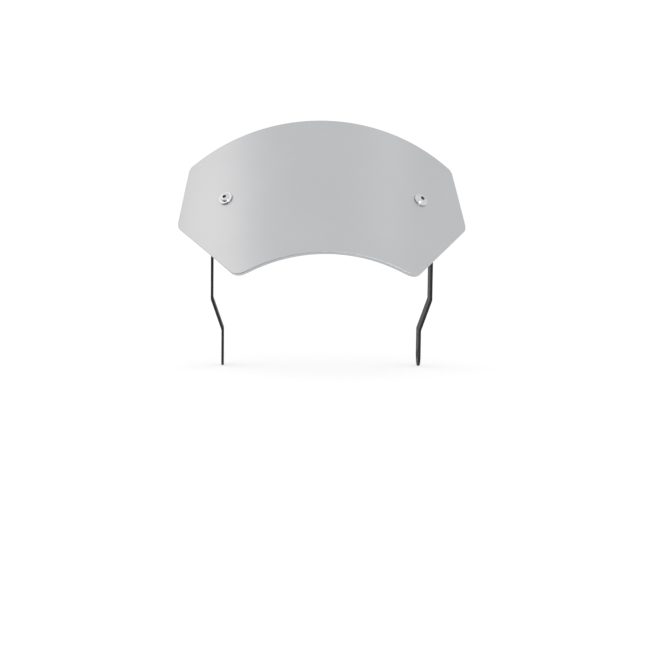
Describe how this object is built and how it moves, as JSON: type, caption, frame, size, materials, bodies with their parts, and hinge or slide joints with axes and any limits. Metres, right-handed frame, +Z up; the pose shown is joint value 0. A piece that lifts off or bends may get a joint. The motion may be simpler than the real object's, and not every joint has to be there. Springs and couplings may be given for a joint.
{
  "type": "motorcycle windshield",
  "caption": "Rolled aluminium wind deflector for above a motorcycle headlight, screwed through rubber grommets to bent flat-bar brackets that end in bolt eyes.",
  "frame": {"origin": "midway between the two eyes of the brackets, on the axis of their bolts", "axes": "+Z up, the front of the sheet towards -Y, +X to the rider's left along the eyes' axis"},
  "size_m": [0.28, 0.1314, 0.2388],
  "materials": {
    "anodised_sheet": "satin silver anodised",
    "powder_coat": "fine-textured black powder coat",
    "zinc_steel": "bright zinc plated",
    "black_nylon": "plain",
    "black_rubber": "moulded",
    "white_nylon": "natural nylon"
  },
  "bodies": {
    "root": {"shield": "anodised_sheet", "left_bracket": "powder_coat", "left_screw": "zinc_steel", "left_face_washer": "black_nylon", "left_grommet": "black_rubber", "left_collar": "zinc_steel", "left_back_washer": "zinc_steel", "left_locknut": "zinc_steel", "left_nut_ring": "white_nylon", "right_bracket": "powder_coat", "right_screw": "zinc_steel", "right_face_washer": "black_nylon", "right_grommet": "black_rubber", "right_collar": "zinc_steel", "right_back_washer": "zinc_steel", "right_locknut": "zinc_steel", "right_nut_ring": "white_nylon"}
  },
  "joints": []
}
